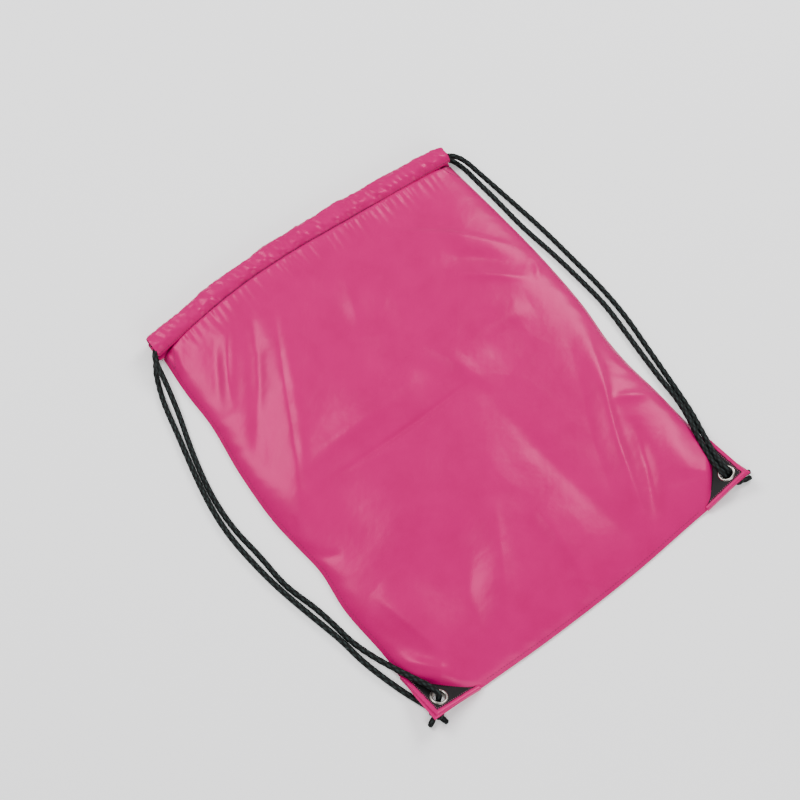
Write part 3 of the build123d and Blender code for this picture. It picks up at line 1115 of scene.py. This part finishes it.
# Each cord's route in metres: up through its eyelet, the front strand, the casings, the back strand, the knot.
LEFT_CORD = [
    (-0.1775, -0.2265, 0.0046), (-0.1721, -0.2211, 0.0080), (-0.1689, -0.2179, 0.0170), (-0.1706, -0.2085, 0.0134),
    (-0.1765, -0.1950, 0.0098), (-0.1860, -0.1745, 0.0078), (-0.1945, -0.1530, 0.0044), (-0.2010, -0.1310, 0.0026),
    (-0.2035, -0.1120, 0.0026), (-0.2080, -0.0880, 0.0026), (-0.2145, -0.0670, 0.0026), (-0.2185, -0.0490, 0.0026),
    (-0.2200, -0.0170, 0.0026), (-0.2245, 0.0170, 0.0026), (-0.2230, 0.0530, 0.0026), (-0.2170, 0.0860, 0.0026),
    (-0.2095, 0.1160, 0.0026), (-0.2015, 0.1430, 0.0034), (-0.1955, 0.1680, 0.0068), (-0.1915, 0.1880, 0.0115),
    (-0.1890, 0.2035, 0.0150), (-0.1830, 0.2112, 0.0160),
    (-0.1710, 0.2136, 0.0162), (-0.1510, 0.2168, 0.0162), (-0.1130, 0.2221, 0.0162), (-0.0570, 0.2272, 0.0162),
    (0.0020, 0.2268, 0.0162), (0.0620, 0.2239, 0.0162), (0.1110, 0.2222, 0.0162), (0.1470, 0.2205, 0.0162),
    (0.1700, 0.2194, 0.0162), (0.1815, 0.2190, 0.0160), (0.1815, 0.2190, 0.0036), (0.1700, 0.2194, 0.0034),
    (0.1470, 0.2205, 0.0034), (0.1110, 0.2222, 0.0034), (0.0620, 0.2239, 0.0034), (0.0020, 0.2268, 0.0034),
    (-0.0570, 0.2272, 0.0034), (-0.1130, 0.2221, 0.0034), (-0.1510, 0.2168, 0.0034), (-0.1710, 0.2136, 0.0034),
    (-0.1840, 0.2110, 0.0034), (-0.1925, 0.2005, 0.0029), (-0.1995, 0.1840, 0.0026), (-0.2065, 0.1630, 0.0026),
    (-0.2135, 0.1280, 0.0026), (-0.2225, 0.0880, 0.0026), (-0.2295, 0.0480, 0.0026), (-0.2315, 0.0140, 0.0026),
    (-0.2285, -0.0220, 0.0026), (-0.2235, -0.0560, 0.0026), (-0.2140, -0.0970, 0.0026), (-0.2067, -0.1270, 0.0026),
    (-0.2035, -0.1520, 0.0026), (-0.1965, -0.1780, 0.0026), (-0.1910, -0.1955, 0.0026), (-0.1855, -0.2100, 0.0032),
    (-0.1810, -0.2215, 0.0046),
]
RIGHT_CORD = [
    (0.1806, -0.2252, 0.0048), (0.1752, -0.2213, 0.0082), (0.1714, -0.2176, 0.0178), (0.1728, -0.2083, 0.0143),
    (0.1762, -0.1950, 0.0110), (0.1835, -0.1740, 0.0084), (0.1910, -0.1520, 0.0052), (0.1960, -0.1310, 0.0026),
    (0.2005, -0.1040, 0.0026), (0.2055, -0.0730, 0.0026), (0.2120, -0.0350, 0.0026), (0.2145, 0.0050, 0.0026),
    (0.2135, 0.0480, 0.0026), (0.2120, 0.0960, 0.0026), (0.2085, 0.1370, 0.0026), (0.2050, 0.1680, 0.0040),
    (0.2010, 0.1860, 0.0080), (0.1975, 0.2010, 0.0125), (0.1920, 0.2120, 0.0152), (0.1840, 0.2190, 0.0161),
    (0.1710, 0.2236, 0.0162), (0.1510, 0.2282, 0.0162), (0.1130, 0.2305, 0.0162), (0.0580, 0.2326, 0.0162),
    (-0.0030, 0.2354, 0.0162), (-0.0620, 0.2354, 0.0162), (-0.1110, 0.2306, 0.0162), (-0.1470, 0.2256, 0.0162),
    (-0.1700, 0.2226, 0.0162), (-0.1812, 0.2212, 0.0160), (-0.1812, 0.2212, 0.0036), (-0.1700, 0.2226, 0.0034),
    (-0.1470, 0.2256, 0.0034), (-0.1110, 0.2306, 0.0034), (-0.0620, 0.2354, 0.0034), (-0.0030, 0.2354, 0.0034),
    (0.0580, 0.2326, 0.0034), (0.1130, 0.2305, 0.0034), (0.1510, 0.2282, 0.0034), (0.1720, 0.2266, 0.0034),
    (0.1845, 0.2240, 0.0034), (0.1915, 0.2165, 0.0030), (0.1950, 0.2010, 0.0026), (0.1955, 0.1800, 0.0026),
    (0.1968, 0.1480, 0.0026), (0.1970, 0.1070, 0.0026), (0.2015, 0.0660, 0.0026), (0.2035, 0.0260, 0.0026),
    (0.2045, -0.0130, 0.0026), (0.2000, -0.0470, 0.0026), (0.1955, -0.0820, 0.0026), (0.1925, -0.1080, 0.0028),
    (0.1904, -0.1310, 0.0042), (0.1845, -0.1530, 0.0077), (0.1765, -0.1750, 0.0092), (0.1706, -0.1955, 0.0102),
    (0.1676, -0.2086, 0.0126), (0.1664, -0.2182, 0.0163), (0.1698, -0.2216, 0.0072), (0.1736, -0.2274, 0.0044),
]
TAILS = {
    Side.LEFT: [
        [(-0.1830, -0.2294, 0.0040), (-0.1884, -0.2322, 0.0028), (-0.1916, -0.2334, 0.0026)],
        [(-0.1786, -0.2310, 0.0040), (-0.1776, -0.2374, 0.0028), (-0.1762, -0.2406, 0.0026)],
    ],
    Side.RIGHT: [
        [(0.1826, -0.2282, 0.0040), (0.1896, -0.2290, 0.0028), (0.1946, -0.2304, 0.0026)],
        [(0.1796, -0.2318, 0.0040), (0.1856, -0.2348, 0.0028), (0.1914, -0.2346, 0.0026)],
    ],
}


def route_line(points: Sequence[tuple[float, float, float]], step: float) -> np.ndarray:
    """Read evenly spaced points from a smooth curve along a route.

    Args:
        points: The route, as the curve's control points, in metres.
        step: Spacing in metres.

    Returns:
        Points along the curve, in metres.
    """
    data = bpy.data.curves.new("route", "CURVE")
    data.dimensions = "3D"
    spline = data.splines.new("NURBS")
    spline.points.add(len(points) - 1)
    for target, p in zip(spline.points, points):
        target.co = (*p, 1.0)
    spline.order_u = 3
    spline.use_endpoint_u = True
    spline.resolution_u = 16
    holder = bpy.data.objects.new("route", data)
    bpy.context.collection.objects.link(holder)
    bpy.context.view_layer.update()
    mesh = bpy.data.meshes.new_from_object(holder)
    line = np.array([v.co[:] for v in mesh.vertices])
    bpy.data.objects.remove(holder)
    bpy.data.curves.remove(data)
    bpy.data.meshes.remove(mesh)
    run = np.concatenate([[0], np.cumsum(np.linalg.norm(np.diff(line, axis=0), axis=1))])
    marks = np.linspace(0, run[-1], max(4, int(run[-1] / step) + 1))
    return np.column_stack([np.interp(marks, run, line[:, i]) for i in range(3)])


@dataclass
class Braid:
    """A round braid laid along a line. Millimetres."""

    material: bpy.types.Material
    diameter: float = 5.0
    around: int = 24
    step: float = 0.8
    carriers: int = 4
    lay_length: float = 9.0
    relief: float = 0.55
    cap_run: float = 1.6

    def lay(self, name: str, line: np.ndarray) -> bpy.types.Object:
        """Build the braid as a closed tube with rounded, heat-cut ends.

        Args:
            name: The piece's name.
            line: Ring centres in metres.

        Returns:
            The new piece.
        """
        count = len(line)
        tangent = np.gradient(line, axis=0)
        tangent /= np.linalg.norm(tangent, axis=1)[:, None]
        across = np.zeros_like(line)
        guide = (0.0, 0.0, 1.0) if abs(tangent[0, 2]) < 0.9 else (1.0, 0.0, 0.0)
        first = np.cross(tangent[0], guide)
        across[0] = first / np.linalg.norm(first)
        for i in range(1, count):
            carried = across[i - 1] - tangent[i] * (across[i - 1] @ tangent[i])
            across[i] = carried / np.linalg.norm(carried)
        over = np.cross(tangent, across)
        run = np.concatenate([[0], np.cumsum(np.linalg.norm(np.diff(line, axis=0), axis=1))]) / MM
        reliefs: list[np.ndarray] = []

        def place(u: np.ndarray, v: np.ndarray) -> np.ndarray:
            """Wrap the grid round the line."""
            i = np.rint(u * (count - 1)).astype(int)
            turn = 2 * np.pi * v
            a = self.carriers * v + run[i] / self.lay_length
            b = self.carriers * v - run[i] / self.lay_length
            crown_a = np.abs(np.sin(np.pi * a))
            crown_b = np.abs(np.sin(np.pi * b))
            over_a = crown_a**0.8 * (0.55 + 0.45 * crown_b)
            over_b = crown_b**0.8 * (0.55 + 0.45 * crown_a)
            crown_and_highlight = np.where((np.floor(a) + np.floor(b)) % 2 < 1, over_a, over_b)
            from_end = np.minimum(run[i], run[-1] - run[i])
            cap = np.sqrt(np.clip(1 - (1 - np.clip(from_end / self.cap_run, 0, 1)) ** 2, 0.02, 1))
            radius = (self.diameter / 2 - self.relief * 0.6 + self.relief * crown_and_highlight) * cap
            # the crown height also masks the cord's painted highlight and painted shade
            reliefs.append(crown_and_highlight)
            ring = across[i] * np.cos(turn)[:, None] + over[i] * np.sin(turn)[:, None]
            return line[i] / MM + ring * radius[:, None]

        bm = shaped_grid(count - 1, self.around, place)
        layer = bm.verts.layers.float.new("relief")
        for vertex, value in zip(bm.verts, reliefs[0]):
            vertex[layer] = float(value)
        bmesh.ops.remove_doubles(bm, verts=bm.verts, dist=0.004 * MM)
        bmesh.ops.holes_fill(bm, edges=bm.edges, sides=0)
        bmesh.ops.recalc_face_normals(bm, faces=bm.faces)
        return finish_mesh(bm, name, self.material)


@dataclass
class Cords:
    """The two drawcords with their stopper knots and tails."""

    material: bpy.types.Material
    diameter: float = 5.0
    fluff: float = 0.35  # how far the yarns stand proud of the cord's nominal diameter
    knot_diameter: float = 4.7
    knot_points: int = 150
    knot_size: tuple[float, float, float] = (1.62, 1.62, 2.1)
    tail_diameter: float = 4.8
    tail_step: float = 0.6
    start_y: float = -0.205  # heights along the sack, in metres
    end_y: float = 0.2150

    def knot_line(self, side: Side) -> np.ndarray:
        """The centreline of a drawn-up overhand knot.

        Args:
            side: The corner it sits under.

        Returns:
            Points of the closed line, in metres.
        """
        low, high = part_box(f"{side.label}_cord_knot")
        middle = (np.array(low) + np.array(high)) / 2
        t = np.linspace(0, 2 * np.pi, self.knot_points, endpoint=False)
        shape = np.column_stack([np.sin(t) + 2 * np.sin(2 * t), np.cos(t) - 2 * np.cos(2 * t), -np.sin(3 * t)])
        return middle + shape * np.array(self.knot_size) * MM

    def build(self) -> None:
        braid = Braid(self.material, self.diameter + self.fluff)
        for side, route in ((Side.LEFT, LEFT_CORD), (Side.RIGHT, RIGHT_CORD)):
            name = side.label
            line = route_line(route, braid.step * MM)
            cord = braid.lay(f"{name}_cord", line)
            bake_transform(cord)
            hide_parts(f"{name}_cord_front_strand", f"{name}_cord_casing_run", f"{name}_cord_back_strand")
            closed = self.knot_line(side)
            knot = Braid(self.material, self.knot_diameter).lay(f"{name}_knot", np.vstack([closed, closed[:3]]))
            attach(knot, "bag")
            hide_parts(f"{name}_cord_knot")
            for i, tail_route in enumerate(TAILS[side]):
                tail_line = route_line(tail_route, self.tail_step * MM)
                tail = Braid(self.material, self.tail_diameter).lay(f"{name}_tail_{i + 1}", tail_line)
                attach(tail, "bag")
                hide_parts(f"{name}_cord_tails")


# ---------------------------------------------------------------- hardware and set


@dataclass
class Hardware:
    """The corner patches and washers, whose shapes come with the frame."""

    leather: bpy.types.Material
    metal: bpy.types.Material

    def dress(self) -> None:
        """Give each node its finish."""
        finishes = {"front_patch": self.leather, "back_patch": self.leather, "eyelet_washer": self.metal}
        for side in Side:
            for node, material in finishes.items():
                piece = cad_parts[f"{side.label}_{node}"]
                for slot in piece.material_slots:
                    slot.material = material


@dataclass(frozen=True)
class Lamp:
    """A square soft light that points at the sack: its place and size in metres, its power in watts."""

    name: str
    place: tuple[float, float, float]
    size: float
    power: float

    def hang(self) -> None:
        """Put the light in the scene."""
        data = bpy.data.lights.new(self.name, "AREA")
        data.size = self.size
        data.energy = self.power
        light = bpy.data.objects.new(self.name, data)
        light.location = self.place
        light.rotation_euler = (-Vector(self.place)).to_track_quat("-Z", "Y").to_euler()
        bpy.context.collection.objects.link(light)


@dataclass
class Studio:
    """A pale floor, soft light and the camera. Metres."""

    eye: tuple[float, float, float] = (-0.3313, -0.3746, 1.1009)
    target: tuple[float, float, float] = (-0.0220, 0.0298, 0.0)
    lens: float = 56.34
    film: float = 36.0
    floor_size: float = 6.0
    floor_z: float = -0.0004
    floor_colour: str = "#f4f4f5"
    floor_roughness: float = 0.9
    floor_glow: float = 0.24  # the sweep is lit from below, which keeps the shadows pale
    sky_strength: float = 0.5
    lamps: tuple[Lamp, ...] = (
        Lamp("left_softbox", (-0.54, 1.12, 1.71), 0.9, 36.0),
        Lamp("right_softbox", (1.50, 0.40, 1.42), 0.9, 36.0),
        Lamp("front_softbox", (-0.35, -1.9, 1.0), 1.2, 30.0),
    )

    def build(self) -> None:
        """Set the floor, the lights and the camera."""
        self.lay_floor()
        self.fill_with_light()
        for lamp in self.lamps:
            lamp.hang()
        self.set_camera()

    def lay_floor(self) -> None:
        """Lay the sweep that the sack lies on."""
        material = bpy.data.materials.new("pale_floor")
        material.use_nodes = True
        shader = next(n for n in material.node_tree.nodes if n.type == "BSDF_PRINCIPLED")
        shader.inputs["Base Color"].default_value = linear(self.floor_colour)
        shader.inputs["Emission Color"].default_value = linear(self.floor_colour)
        shader.inputs["Emission Strength"].default_value = self.floor_glow
        shader.inputs["Roughness"].default_value = self.floor_roughness
        bm = bmesh.new()
        bmesh.ops.create_grid(bm, x_segments=1, y_segments=1, size=self.floor_size)
        bmesh.ops.translate(bm, verts=bm.verts, vec=(0, 0, self.floor_z))
        finish_mesh(bm, "floor", material)

    def fill_with_light(self) -> None:
        """Fill the studio with an even white light."""
        world = bpy.data.worlds.new("studio")
        world.use_nodes = True
        sky = world.node_tree.nodes["Background"]
        sky.inputs["Color"].default_value = linear("#ffffff")
        sky.inputs["Strength"].default_value = self.sky_strength
        bpy.context.scene.world = world

    def set_camera(self) -> None:
        """Look down at the sack from over its lower left corner."""
        data = bpy.data.cameras.new("camera")
        data.lens = self.lens
        data.sensor_width = self.film
        camera = bpy.data.objects.new("camera", data)
        camera.location = self.eye
        camera.rotation_euler = (Vector(self.target) - Vector(self.eye)).to_track_quat("-Z", "Y").to_euler()
        bpy.context.collection.objects.link(camera)
        bpy.context.scene.camera = camera


def main() -> None:
    """Build the sack's looks in order."""
    logging.basicConfig(level=logging.INFO)
    Studio().build()
    nylon = CoatedNylon("coated_nylon", roughness=0.31, specular=0.44, tint="#ff6ea0").build()
    braid = BraidedPolyester("braided_polyester", roughness=0.72, specular=0.2).build()
    leather = Leatherette("embossed_leatherette", roughness=0.6, specular=0.25).build()
    nickel = NickelPlate("nickel_plate", roughness=0.27, metallic=1.0).build()
    thread = SewingThread("sewing_thread", roughness=0.7).build()
    patch_thread = SewingThread("patch_thread", roughness=0.7, base="#8a2f58", light="#b85583").build()
    Cords(braid).build()
    LOG.info("cords laid")
    lie = ClothLie()
    sheets = Sheets(lie, nylon)
    cloths = sheets.build()
    LOG.info("cloth laid")
    front_casing = Casing(lie, nylon, "front_casing", middle_z=15.5, half_height=5.2, drop=2.6).build()
    back_casing = Casing(lie, nylon, "back_casing", middle_z=3.7, half_height=3.4, seed=31).build()
    LOG.info("casings laid")
    Stitching(lie, thread, patch_thread).build()
    LOG.info("stitches sewn")
    sewn_on = {"front_cloth": {}, "back_cloth": {}}
    for side in Side:
        corner = Corner(side)
        sewn_on["front_cloth"][side] = [front_casing[side], corner.hem(nylon)]
        sewn_on["back_cloth"][side] = [back_casing[side]]
        corner.eyelet(nickel)
    Hardware(leather, nickel).dress()


if __name__ == "__main__":
    main()
